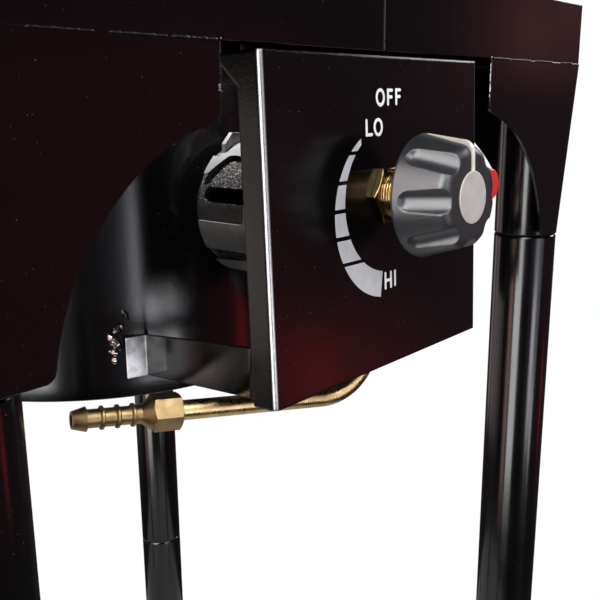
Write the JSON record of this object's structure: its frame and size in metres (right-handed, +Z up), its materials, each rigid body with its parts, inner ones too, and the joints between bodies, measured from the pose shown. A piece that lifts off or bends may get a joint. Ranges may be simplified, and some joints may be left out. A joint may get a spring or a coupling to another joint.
{
  "type": "gas burner stove",
  "caption": "Square free-standing gas burner stove with plug-in tube legs, round wind drum, leaning control panel, air shutter, push igniter and lift-off pot grate.",
  "frame": {"origin": "on the floor under the burner's axis, in the middle of the four feet", "axes": "+X to the cook's right, +Y to the back, +Z up"},
  "size_m": [0.502, 0.5549, 0.822],
  "materials": {
    "black_powder": "glossy black powder coat",
    "black_gloss": "smooth glossy black coat",
    "cast_iron": "rough as cast",
    "brass": "turned, slightly dull",
    "sheet_steel": "plain rolled sheet",
    "zinc_steel": "zinc plated",
    "dark_plastic": "moulded, fine grain",
    "light_plastic": "satin inlay",
    "cream_plastic": "satin inlay",
    "red_plastic": "glossy",
    "ceramic": "glazed ceramic",
    "foot_rubber": "matt"
  },
  "bodies": {
    "stand": {"band": "black_powder", "deck_plate": "black_powder", "leg_stub_fl": "black_powder", "leg_stub_fr": "black_powder", "leg_stub_rr": "black_powder", "leg_stub_rl": "black_powder", "strap_left": "black_powder", "strap_right": "black_powder", "panel": "black_powder", "hanger_left": "black_powder", "hanger_right": "black_powder", "burner_bar": "black_powder", "gusset_front_right": "black_powder", "gusset_front_left": "black_powder", "gusset_right_rear": "black_powder", "gusset_right_front": "black_powder", "gusset_rear_left": "black_powder", "gusset_rear_right": "black_powder", "gusset_left_front": "black_powder", "gusset_left_rear": "black_powder", "drum": "black_gloss", "burner_casting": "cast_iron", "burner_cap": "cast_iron", "valve_body": "brass", "valve_bonnet": "brass", "jam_nut": "brass", "valve_jet": "brass", "gas_pipe": "brass", "pipe_nut": "brass", "hose_union": "brass", "hose_barb": "brass", "electrode_bracket": "sheet_steel", "electrode_wire": "sheet_steel", "burner_bolts": "zinc_steel", "cap_bolt": "zinc_steel", "shutter_screw": "zinc_steel", "igniter_body": "dark_plastic", "igniter_nut": "dark_plastic", "electrode_ceramic": "ceramic"},
    "knob_group": {"knob": "dark_plastic", "knob_cap": "light_plastic", "knob_pointer": "cream_plastic", "valve_stem": "brass"},
    "button": {"igniter_button": "red_plastic"},
    "shutter": {"air_shutter": "sheet_steel"},
    "grate": {"pot_grate": "cast_iron"},
    "leg_fl": {"leg_fl": "black_powder"},
    "lower_fl": {"lower_leg_fl": "black_powder", "foot_fl": "foot_rubber"},
    "leg_fr": {"leg_fr": "black_powder"},
    "lower_fr": {"lower_leg_fr": "black_powder", "foot_fr": "foot_rubber"},
    "leg_rr": {"leg_rr": "black_powder"},
    "lower_rr": {"lower_leg_rr": "black_powder", "foot_rr": "foot_rubber"},
    "leg_rl": {"leg_rl": "black_powder"},
    "lower_rl": {"lower_leg_rl": "black_powder", "foot_rl": "foot_rubber"}
  },
  "joints": [
    {"name": "knob_turn", "type": "hinge", "parent": "stand", "child": "knob_group", "pos_m": [0, -0.25396, 0.68839], "axis": [0, -0.9992, 0.0401], "range_deg": [0, 170]},
    {"name": "igniter_push", "type": "slide", "parent": "stand", "child": "button", "axis": [0, 0.9992, -0.0401], "range_m": [0, 0.006], "stiffness_N_per_m": 800, "springref_m": -0.003},
    {"name": "air_shutter_turn", "type": "hinge", "parent": "stand", "child": "shutter", "pos_m": [0, -0.17, 0.6755], "axis": [0, -1, 0], "range_deg": [-25, 25]},
    {"name": "pot_grate_lift", "type": "slide", "parent": "stand", "child": "grate", "axis": [0, 0, 1], "range_m": [0, 0.06]},
    {"name": "leg_fl_pull", "type": "slide", "parent": "stand", "child": "leg_fl", "axis": [0, 0, -1], "range_m": [0, 0.06]},
    {"name": "lower_leg_fl_pull", "type": "slide", "parent": "leg_fl", "child": "lower_fl", "axis": [0, 0, -1], "range_m": [0, 0.06]},
    {"name": "leg_fr_pull", "type": "slide", "parent": "stand", "child": "leg_fr", "axis": [0, 0, -1], "range_m": [0, 0.06]},
    {"name": "lower_leg_fr_pull", "type": "slide", "parent": "leg_fr", "child": "lower_fr", "axis": [0, 0, -1], "range_m": [0, 0.06]},
    {"name": "leg_rr_pull", "type": "slide", "parent": "stand", "child": "leg_rr", "axis": [0, 0, -1], "range_m": [0, 0.06]},
    {"name": "lower_leg_rr_pull", "type": "slide", "parent": "leg_rr", "child": "lower_rr", "axis": [0, 0, -1], "range_m": [0, 0.06]},
    {"name": "leg_rl_pull", "type": "slide", "parent": "stand", "child": "leg_rl", "axis": [0, 0, -1], "range_m": [0, 0.06]},
    {"name": "lower_leg_rl_pull", "type": "slide", "parent": "leg_rl", "child": "lower_rl", "axis": [0, 0, -1], "range_m": [0, 0.06]}
  ]
}
